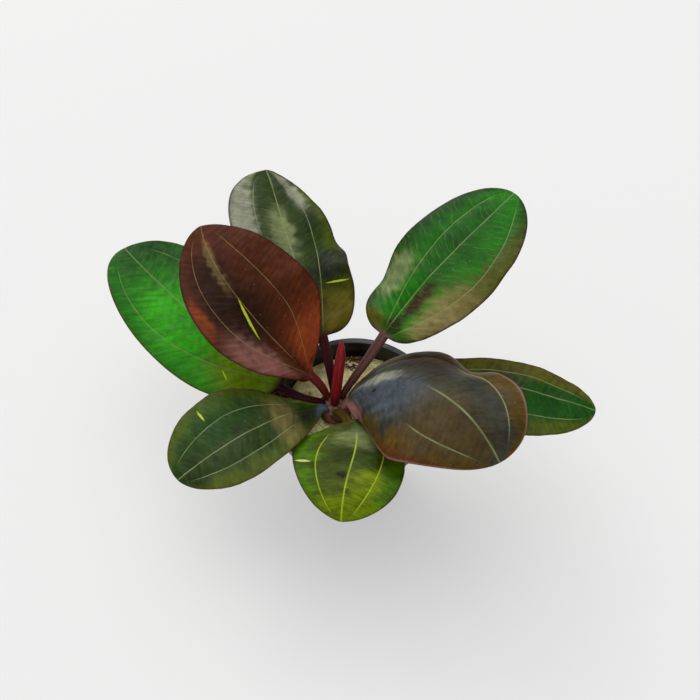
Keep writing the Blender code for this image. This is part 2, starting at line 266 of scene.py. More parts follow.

# %% [markdown]
# ## How each leaf is coloured
# A leaf's colour changes slowly over the blade, darker inside and lighter towards the margins, and each leaf has a few
# things of its own that the eye goes to: a flush, a bruise, a stretch of painted sheen, a streak where the green is
# gone.
# Other patches are painted shade on folds that turn away from the light, and a few a painted glow where light comes
# through.
# A patch is (t, v, length, width, colour, strength). A streak is (t, v, t, v, width in mm, colour). The midline and
# the laterals are the strong veins, given like everything else by three values of v.

# %% Leaf looks
LOOKS = {
    "leaf_far_left": dict(
        slot="leaf_bright_green", inner="leaf green", outer="leaf green", margin="bronze", under="sage", vein="sage",
        line=0.24, cross=0.26, stalk="maroon", glow=0.35, veins_from=0.0,
        midline=(0.0, -0.1, 0.0), laterals=((-0.1, 0.6, 0.55), (-0.3, -0.7, -0.45)),
        patches=(
            (0.90, -0.3, 0.20, 0.8, "deep green", 0.8),  # darker towards the tip
            (0.48, 0.1, 0.28, 0.7, "spring green", 0.75),  # the light comes through
            (0.10, 0.1, 0.18, 0.7, "yellow green", 0.8),  # yellow near the foot
        ),
        streaks=((0.24, 0.37, 0.18, 0.58, 0.7, "lime"),),
    ),
    "leaf_back": dict(
        slot="leaf_dark_green", inner="fir", outer="moss", margin="maroon", under="sage", vein="sage",
        line=0.24, cross=0.16, stalk="maroon", glow=0.15, veins_from=0.0,
        midline=(0.05, 0.1, 0.0), laterals=((0.1, 0.5, 0.4), (-0.05, -0.45, -0.65)),
        patches=(
            (0.75, 0.8, 0.25, 0.25, "satin", 0.8),  # painted sheen down the left side
            (0.84, -0.6, 0.14, 0.2, "satin", 0.75),  # painted sheen at the tip's right too
            # painted sheen in the middle
            (0.58, 0.15, 0.14, 0.2, "sage", 0.7),
            (0.34, -0.7, 0.10, 0.5, "ink", 0.8),  # painted shade on the dark side of the bulge
            (0.12, -0.5, 0.10, 0.6, "olive", 0.9),  # the olive panel under it
        ),
        streaks=((0.255, -0.35, 0.235, -0.97, 0.8, "lime"),),
    ),
    "leaf_red": dict(
        slot="leaf_red_brown", inner="chestnut", outer="chestnut", margin="maroon", under="rose", vein="tan",
        line=0.18, cross=0.08, stalk="wine", glow=0.2, veins_from=0.0,
        midline=(0.0, 0.0, 0.1), laterals=((0.3, 0.55, 0.6), (-0.3, -0.5, -0.3)),
        patches=(
            (0.55, 0.25, 0.26, 0.5, "umber", 0.85),  # the dark middle
            (0.80, 0.10, 0.14, 0.09, "tan", 0.5),  # a painted sheen beside the midrib's end
            (0.28, 0.65, 0.16, 0.3, "rose", 0.55),  # painted pinkish sheen on the folded side
            (0.12, -0.7, 0.16, 0.5, "rust", 0.9),  # orange-red towards the foot, partly a painted glow of the light coming through
            (0.58, 0.9, 0.08, 0.15, "rust", 0.6),
        ),
        # the ink streak is painted shade along one edge of the lime streak
        streaks=((0.58, 0.0, 0.33, 0.25, 1.1, "lime"), (0.57, 0.07, 0.36, 0.30, 0.6, "ink")),
    ),
    "leaf_front_left": dict(
        slot="leaf_dark_green", inner="fir", outer="moss", margin="bronze", under="sage", vein="sage",
        line=0.24, cross=0.10, stalk="slate", glow=0.15, veins_from=0.2,
        midline=(0.0, 0.1, 0.05), laterals=((0.3, 0.55, 0.45), (-0.45, -0.45, -0.4)),
        patches=(
            (0.65, -0.5, 0.20, 0.4, "deep green", 0.5),
            (0.28, 0.2, 0.08, 0.9, "tan", 0.45),  # a ridge that catches the light
            (0.10, 0.6, 0.09, 0.5, "ink", 0.7),  # shaded side behind it
            # painted blue-grey sheen at the foot
            (0.0, 0.5, 0.06, 0.8, "slate", 0.7),
        ),
        streaks=((0.68, -0.88, 0.68, -0.56, 0.8, "lime"),),
    ),
    "leaf_arched": dict(
        slot="leaf_bronze", inner="smoke", outer="bronze", margin="rose", under="rose", vein="sage",
        line=0.34, cross=0.10, stalk="rose", glow=0.12, veins_from=0.50,
        midline=(0.1, 0.0, 0.0), laterals=((0.3, 0.75, 0.4), (0.1, -0.52, -0.45)),
        patches=(
            (0.30, -0.2, 0.22, 0.3, "slate", 0.75),  # the sky's blue on the crest
            (0.22, 0.15, 0.12, 0.13, "satin", 0.65),  # painted silvery sheen along it
            (0.40, 0.75, 0.12, 0.35, "umber", 0.8),  # painted shade on the far side, which folds down
            (0.75, -0.5, 0.25, 0.6, "bronze", 0.7),
            (0.60, -1.0, 0.30, 0.12, "chestnut", 0.7),  # brown towards the near margin
            (0.03, -0.8, 0.06, 0.5, "rose", 0.9),  # the pink fold at the foot
        ),
        streaks=((0.20, -0.17, 0.24, -0.11, 0.9, "ink"),),
    ),
    "leaf_front": dict(
        slot="leaf_green", inner="moss", outer="grass", margin="bronze", under="sage", vein="lime",
        line=0.30, cross=0.10, stalk="bronze", glow=0.3, veins_from=0.1,
        midline=(0.2, 0.0, 0.0), laterals=((0.8, 0.55, 0.4), (-0.35, -0.6, -0.45)),
        patches=(
            # painted sheen near the foot
            (0.20, 0.2, 0.12, 0.5, "sage", 0.6),
            (0.42, 0.1, 0.10, 0.5, "fir", 0.7),  # dark green between the laterals
            (0.66, 0.35, 0.12, 0.3, "yellow green", 0.9),  # the yellow patch
            (0.60, -0.12, 0.035, 0.07, "umber", 0.9),  # a brown bruise
            (0.90, 0.0, 0.10, 1.0, "yellow green", 0.7),
        ),
        streaks=((0.54, -0.99, 0.52, -0.66, 1.0, "cream"),),
    ),
    "leaf_right": dict(
        slot="leaf_dark_green", inner="deep green", outer="moss", margin="bronze", under="sage", vein="sage",
        line=0.24, cross=0.12, stalk="bronze", glow=0.2, veins_from=0.0,
        midline=(0.1, 0.15, 0.0), laterals=((0.4, 0.6, 0.4), (-0.3, -0.45, -0.6)),
        patches=((0.60, 0.8, 0.40, 0.3, "olive", 0.7), (0.50, 0.3, 0.12, 0.3, "smoke", 0.6)),
        streaks=(),
    ),
    "leaf_back_right": dict(
        slot="leaf_green", inner="leaf green", outer="deep green", margin="maroon", under="sage", vein="sage",
        line=0.24, cross=0.34, stalk="plum", glow=0.2, veins_from=0.0,
        midline=(0.0, 0.0, 0.0), laterals=((0.05, 0.4, 0.45), (-0.35, -0.7, -0.4)),
        patches=(
            (0.60, 0.1, 0.25, 0.4, "deep green", 0.7),
            (0.24, -0.16, 0.12, 0.11, "maroon", 0.9),  # a red flush beside the midrib
            (0.06, -0.15, 0.05, 0.3, "umber", 0.8),  # the shaded foot
            (0.28, -0.8, 0.18, 0.4, "tan", 0.8),
            (0.60, -0.9, 0.25, 0.25, "olive", 0.6),  # tan towards the right margin
            (0.28, 0.65, 0.12, 0.25, "sage", 0.8),  # painted silvery sheen on the left bend
            (0.03, 0.6, 0.05, 0.4, "olive", 0.8),
        ),
        streaks=(),
    ),
}
print("patches on each leaf:", [len(look["patches"]) for look in LOOKS.values()])

# %% [markdown]
# ## Painting a leaf by formula
# The slow colours go into a colour attribute on the mesh, one value for each point, because they follow the leaf and
# not the room. Each patch is an oval bell in (t, v), and its edge wanders with a wave field so that no oval shows.
# What has sharp edges, such as the veins, is left to the shader, which can draw finer than the mesh.

# %% Paint
CROSS_VEIN_STEP = 2.1
CROSS_VEIN_SLOPE = 0.55


def leaf_paint(look, t, v, width, seed):
    """Colour of every point: zones by |v|, then patches, then the margin and the stalk, blended by soft steps.

    Silk is a field of short waves that lie along the cross-veins; it frays the patches and streaks the whole blade.
    """
    x, y = 60 * t, v * width / MM
    blotch = waves(x, y, seed, 7, 20)
    fine = waves(x, y, seed + 50, 2.0, 5.0)
    silk = waves(x - CROSS_VEIN_SLOPE * np.abs(y), 0.2 * y, seed + 60, 0.8, 2.4)
    zone = smooth_step((np.abs(v) - 0.5 + 0.12 * blotch) / 0.35)[..., None]
    color = light(look["inner"]) * (1 - zone) + light(look["outer"]) * zone
    for place, side, length, across, shade, strength in look["patches"]:
        oval = bump(t + 0.02 * blotch, place, length) * bump(v + 0.06 * fine, side, across)
        share = (strength * smooth_step(1.6 * oval + 0.35 * silk * oval))[..., None]
        color = color * (1 - share) + light(shade) * share
    color = color * (1 + 0.20 * blotch + 0.16 * fine + 0.16 * silk)[..., None]
    edge = (smooth_step((width * (np.abs(v) - 1) / MM + 0.9) / 0.7) * 0.75)[..., None]
    color = color * (1 - edge) + light(look["margin"]) * edge
    stalk = smooth_step(1 - t / 0.035)[..., None]
    return np.clip(color * (1 - stalk) + light(look["stalk"]) * stalk, 0.0, 1.0)


painted = leaf_paint(LOOKS["leaf_red"], np.array([[0.5]]), np.array([[0.0]]), np.array([[0.02]]), 3)
print("the red leaf's middle is", painted.round(3).ravel())

# %% [markdown]
# ## Building a leaf's mesh
# A closed leaf has an upper and a lower sheet that meet at the margins, so one ring of points goes over the top from
# the right margin to the left one and back underneath. Rings follow each other from the foot to the tip, which is
# closed by a single point. The relief comes from the same coordinates as the colours: the veins are sunk in the upper
# side and stand out below, and the skin between the fine cross-veins swells a little, like a quilt.

# %% One leaf
STALK_ROWS = 36
BLADE_ROWS = 170
COLUMNS = 72


def mesh_piece(name, points, faces, smooth=True):
    """A mesh object that rides on the plant's body."""
    mesh = bpy.data.meshes.new(name)
    used = np.unique(np.concatenate([np.ravel(face) for face in faces]))
    points = np.asarray(points)[used]
    new_number = np.zeros(used[-1] + 1, int)
    new_number[used] = np.arange(len(used))
    mesh.from_pydata(points.tolist(), [], [new_number[np.asarray(face)].tolist() for face in faces])
    mesh.polygons.foreach_set("use_smooth", [smooth] * len(mesh.polygons))
    mesh.update()
    piece = bpy.data.objects.new(name, mesh)
    bpy.context.scene.collection.objects.link(piece)
    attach(piece, "root")
    return piece


def ring_faces(rows, around):
    """Quads between rows of rings, each ring closed on itself."""
    here = np.arange(rows - 1)[:, None] * around
    k = np.arange(around)[None, :]
    after = (k + 1) % around
    return np.stack([here + k, here + around + k, here + around + after, here + after], -1).reshape(-1, 4)


def put_attribute(mesh, name, kind, values):
    """Stores one value for each point under a name that a material can read."""
    layer = mesh.attributes.new(name, kind, "POINT")
    field = "color" if kind == "FLOAT_COLOR" else "vector" if kind == "FLOAT_VECTOR" else "value"
    layer.data.foreach_set(field, np.ascontiguousarray(values, np.float32).ravel())


def leaf_relief(look, t, v, width, beside, seed):
    """Height in mm of the upper side: sunk veins, pillows between them, a fine quilt and slow unevenness."""
    mid = (v - along(look["midline"], t)) * width / MM
    left, right = (along(values, t) for values in look["laterals"])
    groove = -0.16 * bump(mid, 0.0, 0.45) * (1 - 0.6 * t)
    for values in look["laterals"]:
        groove = groove - 0.10 * bump((v - along(values, t)) * width / MM, 0.0, 0.4)
    inner = np.where(v > 0, np.maximum(left, 0.2), np.maximum(-right, 0.2))
    panel = np.where(np.abs(v) < inner, np.abs(v) / inner, (np.abs(v) - inner) / (1.001 - inner))
    pillow = 0.20 * np.sin(pi * np.clip(panel, 0, 1)) * np.clip(width / 0.016, 0, 1)
    wander = 0.5 * waves(60 * t, mid, seed + 7, 6, 14)
    phase = (60 * t - CROSS_VEIN_SLOPE * np.abs(mid) + wander) / CROSS_VEIN_STEP
    quilt = 0.020 * np.sin(2 * pi * phase)
    slow = 0.34 * waves(60 * t, mid, seed + 3, 12, 30) + 0.09 * waves(60 * t, mid, seed + 4, 3, 7)
    frill = 0.45 * np.abs(v) ** 3 * waves(60 * t, 8 * np.sign(v), seed + 5, 9, 20)
    blade = smooth_step(t / 0.12) * smooth_step((1 - t) / 0.05)
    return blade * (groove + pillow + quilt + slow + frill), blade * (slow + frill)


def build_leaf(name, leaf, look, seed):
    """Upper and lower sheet of a leaf from its formula, with attributes for its material."""
    stalk_s = np.linspace(0.0, leaf["petiole"], STALK_ROWS, endpoint=False)
    blade_s = leaf["petiole"] + leaf["length"] * (0.5 - 0.5 * np.cos(pi * np.linspace(0, 1, BLADE_ROWS)))
    blade_s = 0.55 * blade_s + 0.45 * (leaf["petiole"] + leaf["length"] * np.linspace(0, 1, BLADE_ROWS))
    s = np.concatenate([stalk_s, blade_s])
    even = np.linspace(-1.0, 1.0, COLUMNS + 1)
    v = 0.6 * even + 0.4 * np.sin(pi / 2 * even)
    middle, normal, t, width, beside = leaf_sheet(leaf, s, v)
    t = np.broadcast_to(t, beside.shape)
    side = np.broadcast_to(v[None, :], beside.shape)
    above, both = leaf_relief(look, t, side, width, beside, seed)
    spread = smooth_step(t / 0.15)
    lens = np.sqrt(np.clip(1 - side**2, 0.0, 1.0))
    half_thick = lens * (STALK_HALF_THICK * (1 - spread) + BLADE_HALF_THICK * spread)
    channel = 1 - 0.45 * bump(side, 0.0, 0.35) * (1 - spread)
    ribs = np.maximum(-(above - both), 0.0) * 1.6
    top = middle + (half_thick * channel + above * MM)[..., None] * normal
    under = middle - (half_thick + (ribs - both) * MM)[..., None] * normal
    rings = np.concatenate([top, under[:, -2:0:-1]], axis=1)
    around = rings.shape[1]
    points = np.vstack([rings[:-1].reshape(-1, 3), rings[-1].mean(axis=0)])
    points[:, 2] = np.maximum(points[:, 2], CROWN_TOP + GAP)
    last = len(points) - 1
    here = last - around
    k = np.arange(around)
    fan = np.stack([here + k, np.full(around, last), here + (k + 1) % around], -1)
    faces = ring_faces(len(rings) - 1, around).tolist() + fan.tolist() + [list(range(around))]
    piece = mesh_piece(name + "_skin", points, faces)

    def on_ring(values):
        """The same value above and below, in the order of the points."""
        ring = np.concatenate([values, values[:, -2:0:-1]], axis=1)
        return np.concatenate([ring[:-1].reshape(-1, *values.shape[2:]), ring[-1, :1].reshape(-1, *values.shape[2:])])

    upper = np.zeros((len(rings), around))
    upper[:, : COLUMNS + 1] = 1.0
    upper[:, [0, COLUMNS]] = 0.5
    color = leaf_paint(look, t, side, width, seed)
    pale = light(look["under"])
    ring_color = np.concatenate([color, 0.45 * color[:, -2:0:-1] + 0.55 * pale * (t > 0)[:, -2:0:-1, None]
                                 + 0.55 * color[:, -2:0:-1] * (t <= 0)[:, -2:0:-1, None]], axis=1)
    ring_color = np.concatenate([ring_color[:-1].reshape(-1, 3), ring_color[-1, :1]])
    lines = (look["midline"], *look["laterals"])
    veins = [(side - along(values, t)) * width / MM for values in lines]
    place = np.stack([t * leaf["length"] / MM, side * width / MM, t], -1)
    put_attribute(piece.data, "paint", "FLOAT_COLOR", np.c_[ring_color, np.ones(len(ring_color))])
    put_attribute(piece.data, "veins", "FLOAT_VECTOR", on_ring(np.stack(veins, -1)))
    put_attribute(piece.data, "place", "FLOAT_VECTOR", on_ring(place))
    start = look["veins_from"]
    put_attribute(piece.data, "blade", "FLOAT", on_ring(smooth_step((t - start) / 0.10)[..., None]).ravel())
    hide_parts(name)
    return piece


# %% [markdown]
# ## Materials as small graphs
# A material is a graph of nodes. Writing it by hand takes many lines, so a little class makes each node with one
# call and gives back its output, and the graphs below then read like sums.

# %% A pen for node graphs


class Graph:
    """Makes a material's nodes one call at a time; every call returns the new node's output."""

    def __init__(self, name):
        self.material = bpy.data.materials.new(name)
        self.material.use_nodes = True
        self.nodes = self.material.node_tree.nodes
        self.links = self.material.node_tree.links
        self.shader = self.nodes["Principled BSDF"]
        self.end = self.nodes["Material Output"]

    def put(self, value, socket):
        """Links an output to a socket, or sets a plain value on it."""
        if isinstance(value, bpy.types.NodeSocket):
            self.links.new(value, socket)
        elif isinstance(value, (tuple, list, np.ndarray)) and len(value) == 3 and socket.type == "RGBA":
            socket.default_value = (*value, 1.0)
        else:
            socket.default_value = value

    def node(self, kind, output=0, sockets=(), **settings):
        """A node of a kind with some settings and inputs."""
        made = self.nodes.new(kind)
        for key, value in settings.items():
            setattr(made, key, value)
        for socket, value in sockets:
            self.put(value, made.inputs[socket])
        return made.outputs[output]

    def math(self, operation, a, b=0.0, c=0.0):
        """One sum or function of up to three numbers."""
        return self.node("ShaderNodeMath", 0, ((0, a), (1, b), (2, c)), operation=operation)

    def step(self, x, start, stop):
        """0 where x is at start and 1 where it is at stop, eased between."""
        sockets = (("Value", x), ("From Min", start), ("From Max", stop))
        return self.node("ShaderNodeMapRange", 0, sockets, interpolation_type="SMOOTHSTEP")

    def mix(self, share, a, b, blend="MIX"):
        """Colour a changed towards b by a share."""
        made = self.nodes.new("ShaderNodeMix")
        made.data_type = "RGBA"
        made.blend_type = blend
        self.put(share, made.inputs[0])
        self.put(a, made.inputs[6])
        self.put(b, made.inputs[7])
        return made.outputs[2]

    def attribute(self, name, output="Vector"):
        """A value stored on the mesh."""
        return self.node("ShaderNodeAttribute", output, attribute_name=name)

    def parts(self, vector):
        """The three numbers of a vector."""
        made = self.nodes.new("ShaderNodeSeparateXYZ")
        self.put(vector, made.inputs[0])
        return made.outputs

    def noise(self, scale, detail=3.0, roughness=0.5, where=None, distortion=0.0):
        """Cloudy noise on Object coordinates, or on another vector."""
        where = where or self.node("ShaderNodeTexCoord", "Object")
        sockets = (("Vector", where), ("Scale", scale), ("Detail", detail), ("Roughness", roughness),
                   ("Distortion", distortion))
        return self.node("ShaderNodeTexNoise", "Fac", sockets)

    def bump(self, height, distance, strength=1.0):
        """A normal tilted by a height, with its distance in metres."""
        return self.node("ShaderNodeBump", 0, (("Height", height), ("Distance", distance), ("Strength", strength)))


print("node pen ready:", [name for name in vars(Graph) if not name.startswith("_")])

# %% [markdown]
# ## The leaf skin
# The shader reads the painted colour and draws on it what is sharp: the midrib and laterals as pale lines that follow
# the signed distance stored on the mesh, the fine cross-veins as a herringbone of thin lines, streaks and specks. The
# surface is a satin wax, a little uneven in gloss. A share of the light passes through the blade, which is what makes
# a leaf glow when it is lit from behind.

# %% Leaf material
def leaf_material(name, look):
    """Painted colour, veins, cross-veins, streaks and specks under a satin wax, with light passing through."""
    g = Graph(name)
    blade = g.attribute("blade", "Fac")
    mid, left, right = g.parts(g.attribute("veins"))
    place = g.attribute("place")
    s, x, t = g.parts(place)
    color = g.attribute("paint", "Color")
    grain = g.noise(900.0, 4.0, 0.6)
    blotch = g.noise(220.0, 3.0, 0.55)
    color = g.mix(g.step(grain, 0.35, 0.75), color, tuple(0.80 for _ in range(3)), "MULTIPLY")
    color = g.mix(g.math("MULTIPLY", g.step(blotch, 0.5, 0.72), 0.35), color, (0.5, 0.55, 0.5), "MULTIPLY")
    # The cross-veins run out from the midrib and forward to the margin.
    wander = g.math("MULTIPLY", g.math("SUBTRACT", g.noise(0.16, 2.0, 0.5, place), 0.5), 5.0)
    ahead = g.math("MULTIPLY", g.math("ABSOLUTE", mid), -CROSS_VEIN_SLOPE)
    phase = g.math("DIVIDE", g.math("ADD", g.math("ADD", s, ahead), wander), CROSS_VEIN_STEP)
    ridge = g.math("ABSOLUTE", g.math("SUBTRACT", g.math("FRACT", phase), 0.5))
    thin = g.math("MULTIPLY", g.step(ridge, 0.10, 0.0), g.step(g.noise(0.35, 2.0, 0.5, place), 0.42, 0.62))
    cross = g.math("MULTIPLY", g.math("MULTIPLY", thin, blade), look["cross"])
    color = g.mix(cross, color, light(look["vein"]))
    lines = g.step(g.math("ABSOLUTE", mid), 1.3 * look["line"], 0.25 * look["line"])
    for side in (left, right):
        thin_line = g.step(g.math("ABSOLUTE", side), look["line"], 0.2 * look["line"])
        lines = g.math("MAXIMUM", lines, g.math("MULTIPLY", thin_line, g.step(t, 0.97, 0.85)))
    faint = g.step(g.noise(0.12, 2.0, 0.5, place), 0.25, 0.6)
    lines = g.math("MULTIPLY", g.math("MULTIPLY", lines, blade), g.math("MULTIPLY_ADD", faint, 0.45, 0.4))
    color = g.mix(lines, color, light(look["vein"]))
    shape = LEAVES[name[: -len("_finish")]]
    for t0, v0, t1, v1, wide, shade in look["streaks"]:
        ends = []
        for tt, vv in ((t0, v0), (t1, v1)):
            half = leaf_sheet(shape, np.array([shape["petiole"] + tt * shape["length"]]), np.array([vv]))[3][0, 0]
            ends.append(np.array([tt * shape["length"], vv * half]) / MM)
        color = g.mix(streak_share(g, s, x, ends, wide), color, light(shade))
    speck = g.node("ShaderNodeTexVoronoi", "Distance", (("Vector", place), ("Scale", 0.33), ("Randomness", 1.0)))
    color = g.mix(g.math("MULTIPLY", g.step(speck, 0.08, 0.04), 0.3), color, (0.30, 0.31, 0.26))
    dot = g.node("ShaderNodeTexVoronoi", "Distance", (("Vector", place), ("Scale", 0.6), ("Randomness", 1.0)))
    sparse = g.step(g.noise(0.2, 2.0, 0.5, place), 0.5, 0.6)
    color = g.mix(g.math("MULTIPLY", g.math("MULTIPLY", g.step(dot, 0.16, 0.08), sparse), 0.55), color, light("ink"))
    g.put(color, g.shader.inputs["Base Color"])
    g.put(g.math("MULTIPLY_ADD", g.noise(500.0, 3.0, 0.6), 0.22, 0.28), g.shader.inputs["Roughness"])
    g.put(0.12, g.shader.inputs["Specular IOR Level"])
    height = g.math("ADD", g.math("MULTIPLY", grain, 0.35), g.math("MULTIPLY", lines, -0.6))
    g.put(g.bump(g.math("ADD", height, g.math("MULTIPLY", cross, -0.5)), 0.00008, 0.8), g.shader.inputs["Normal"])
    through = g.nodes.new("ShaderNodeBsdfTranslucent")
    g.put(g.mix(1.0, color, (1.5, 1.6, 0.9), "MULTIPLY"), through.inputs["Color"])
    both = g.nodes.new("ShaderNodeMixShader")
    both.inputs[0].default_value = look["glow"]
    g.links.new(g.shader.outputs[0], both.inputs[1])
    g.links.new(through.outputs[0], both.inputs[2])
    g.links.new(both.outputs[0], g.end.inputs["Surface"])
    return g.material


def streak_share(g, s, x, ends, wide):
    """1 on the line between two ends in (along, across) mm, falling off at half its width, and thinner at the ends."""
    (s0, x0), (s1, x1) = ends
    ds, dx = s1 - s0, x1 - x0
    length = (ds * ds + dx * dx) ** 0.5
    ps, px = g.math("SUBTRACT", s, s0), g.math("SUBTRACT", x, x0)
    way = g.math("DIVIDE", g.math("ADD", g.math("MULTIPLY", ps, ds), g.math("MULTIPLY", px, dx)), length * length)
    off = g.math("DIVIDE", g.math("SUBTRACT", g.math("MULTIPLY", ps, dx), g.math("MULTIPLY", px, ds)), length)
    body = g.math("MULTIPLY", g.math("MULTIPLY", way, g.math("SUBTRACT", 1.0, way)), 4.0)
    room = g.math("MULTIPLY", g.math("MAXIMUM", body, 0.0), wide / 2)
    ragged = g.math("MULTIPLY_ADD", g.noise(1.2, 2.0, 0.6, g.attribute("place")), 0.6, 0.7)
    near = g.math("SUBTRACT", g.math("MULTIPLY", room, ragged), g.math("ABSOLUTE", off))
    return g.step(near, 0.0, 0.18)


# %% [markdown]
# ## The eight open leaves
# With the sheet, the paint and the finish in hand, each leaf is one call. The seeds differ, so that no two leaves have
# the same blotches, and a real rosette's leaves differ in the same way: they share a plan and not their accidents.

# %% Make the leaves
triangles = 0
for number, (leaf_name, leaf_shape) in enumerate(LEAVES.items()):
    skin = build_leaf(leaf_name, leaf_shape, LOOKS[leaf_name], 10 * number + 1)
    skin.data.materials.append(leaf_material(leaf_name + "_finish", LOOKS[leaf_name]))
    triangles += 2 * len(skin.data.polygons)
print("leaves built with about", triangles, "triangles")

# %% [markdown]
# ## Turned skins
# The pot, the rockwool and the crown are all round, so each starts as rows of (radius, height, angle) that run from
# the middle of the top outwards, down the side and back to the middle of the bottom. In that order every face points
# out. Two single points close the middles. Radius and height may differ from column to column, which is how lumps and
# slots come in.

# %% Turned skins


def turned_skin(radius, height, angle):
    """Points and faces of a round skin from arrays of rows and columns, closed by a point at both middles."""
    rows, around = radius.shape
    ring = np.stack([radius * np.cos(angle), radius * np.sin(angle), height], -1).reshape(-1, 3)
    ends = [[0.0, 0.0, height[0].mean()], [0.0, 0.0, height[-1].mean()]]
    k = np.arange(around)
    after = (k + 1) % around
    first = np.stack([np.full(around, rows * around), k, after], -1)
    base = (rows - 1) * around
    last = np.stack([base + after, base + k, np.full(around, rows * around + 1)], -1)
    return np.vstack([ring, ends]), ring_faces(rows, around), first, last


def rows_of(*stretches):
    """One profile from stretches of (radius, height) ends and a number of steps, without doubled corners."""
    radius, height = [], []
    for (r0, z0), (r1, z1), steps in stretches:
        share = np.linspace(0.0, 1.0, steps, endpoint=False)
        radius += list(r0 + (r1 - r0) * share)
        height += list(z0 + (z1 - z0) * share)
    radius.append(stretches[-1][1][0])
    height.append(stretches[-1][1][1])
    return np.array(radius), np.array(height)


print("a profile of two stretches has", len(rows_of(((0, 0), (1, 0), 3), ((1, 0), (1, 1), 2))[0]), "rows")

# %% [markdown]
# ## The net pot
# Nurseries grow these plants in a small black pot with upright slots, so that roots can leave it. The pot is one
# lattice: a double wall whose cells are left out at the slots, with short faces that join the inner wall to the outer
# one around every opening. The slots keep their width all the way down, so their angle grows as the pot narrows.

# %% Net pot
POT_HEIGHT = 0.0450
RIM_RADIUS = 0.0263
RIM_LIP = 0.0030
RIM_THICK = 0.0014
RIM_ROUND = 0.0004
MOUTH_RADIUS = 0.0250
BASE_RADIUS = 0.0145
WALL = 0.0010
FLOOR_THICK = 0.0014
SLOTS = 12
SLOT_WIDTH = 0.0030
SLOT_LOW = 0.0060
SLOT_HIGH = 0.0340
SLOT_COLUMNS = 4
BAR_COLUMNS = 8
SLOT_ROWS = 14


def pot_profile():
    """Rows from the floor's middle up the inner wall, over the rim and down to the underside's middle."""
    inner, shoulder = MOUTH_RADIUS - WALL, POT_HEIGHT - RIM_THICK
    flare = MOUTH_RADIUS - BASE_RADIUS

    def inside(z):
        return BASE_RADIUS - WALL + flare * (z - FLOOR_THICK) / (shoulder - FLOOR_THICK), z

    def outside(z):
        return BASE_RADIUS + flare * z / shoulder, z

    def corner(r, z, start):
        """Four short stretches of a quarter circle about (r, z), from a start angle clockwise."""
        turn = np.radians(start - np.linspace(0.0, 90.0, 5))
        ring = np.stack([r + RIM_ROUND * np.cos(turn), z + RIM_ROUND * np.sin(turn)], -1)
        return [(ring[k], ring[k + 1], 1) for k in range(4)]

    top = POT_HEIGHT
    return rows_of(
        ((0.002, FLOOR_THICK), inside(FLOOR_THICK), 5),
        (inside(FLOOR_THICK), inside(SLOT_LOW), 3),
        (inside(SLOT_LOW), inside(SLOT_HIGH), SLOT_ROWS),
        (inside(SLOT_HIGH), inside(shoulder), 5),
        (inside(shoulder), (inner, top - RIM_ROUND), 2),
        *corner(inner + RIM_ROUND, top - RIM_ROUND, 180),
        ((inner + RIM_ROUND, top), (RIM_RADIUS - RIM_ROUND, top), 6),
        *corner(RIM_RADIUS - RIM_ROUND, top - RIM_ROUND, 90),
        ((RIM_RADIUS, top - RIM_ROUND), (RIM_RADIUS, top - RIM_LIP), 4),
        ((RIM_RADIUS, top - RIM_LIP), (RIM_RADIUS - WALL, top - RIM_LIP), 2),
        ((RIM_RADIUS - WALL, top - RIM_LIP), (RIM_RADIUS - WALL, shoulder), 3),
        ((RIM_RADIUS - WALL, shoulder), outside(shoulder), 3),
        (outside(shoulder), outside(SLOT_HIGH), 5),
        (outside(SLOT_HIGH), outside(SLOT_LOW), SLOT_ROWS),
        (outside(SLOT_LOW), outside(0.0), 4),
        (outside(0.0), (0.002, 0.0), 5),
    )


def build_pot():
    """The lattice: columns follow the slots' straight sides, slot cells are left out and their sides are closed."""
    radius, height = pot_profile()
    reach = np.maximum(radius, BASE_RADIUS - WALL)[:, None]
    half_slot = np.arcsin(SLOT_WIDTH / 2 / reach)
    slot = np.arcsin(np.linspace(-1, 1, SLOT_COLUMNS + 1) * SLOT_WIDTH / 2 / reach)
    bar = half_slot + (2 * pi / SLOTS - 2 * half_slot) * np.linspace(0, 1, BAR_COLUMNS + 1)[1:-1]
    sector = np.concatenate([slot, bar], axis=1)
    middles = 2 * pi * (np.arange(SLOTS) + 0.5) / SLOTS
    angle = (middles[None, :, None] + sector[:, None, :]).reshape(len(radius), -1)
    around = angle.shape[1]
    per_sector = SLOT_COLUMNS + BAR_COLUMNS
    grid = np.broadcast_to(radius[:, None], angle.shape), np.broadcast_to(height[:, None], angle.shape)
    points, faces, first, last = turned_skin(*grid, angle)
    low_in = 5 + 3
    low_out = len(radius) - 1 - 5 - 4
    cells = faces.reshape(len(radius) - 1, around, 4)
    keep = np.ones(cells.shape[:2], bool)
    in_slot = np.arange(around) % per_sector < SLOT_COLUMNS
    for start in (low_in, low_out - SLOT_ROWS):
        keep[start : start + SLOT_ROWS, in_slot] = False
    up, over = np.arange(SLOT_ROWS), np.arange(SLOT_COLUMNS)
    row = np.concatenate([up, np.full(SLOT_COLUMNS, SLOT_ROWS), SLOT_ROWS - up, np.zeros(SLOT_COLUMNS, int)])
    column = np.concatenate([0 * up, over, np.full(SLOT_ROWS, SLOT_COLUMNS), SLOT_COLUMNS - over])
    place = column[None, :] + per_sector * np.arange(SLOTS)[:, None]
    inner = (low_in + row)[None, :] * around + place
    outer = (low_out - row)[None, :] * around + place
    sides = np.stack([inner, np.roll(inner, -1, 1), np.roll(outer, -1, 1), outer], -1).reshape(-1, 4)
    all_faces = cells[keep].tolist() + sides.tolist() + first.tolist() + last.tolist()
    piece = mesh_piece("net_pot_skin", points, all_faces)
    piece.data.set_sharp_from_angle(angle=radians(35))
    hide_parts("net_pot")
    return piece


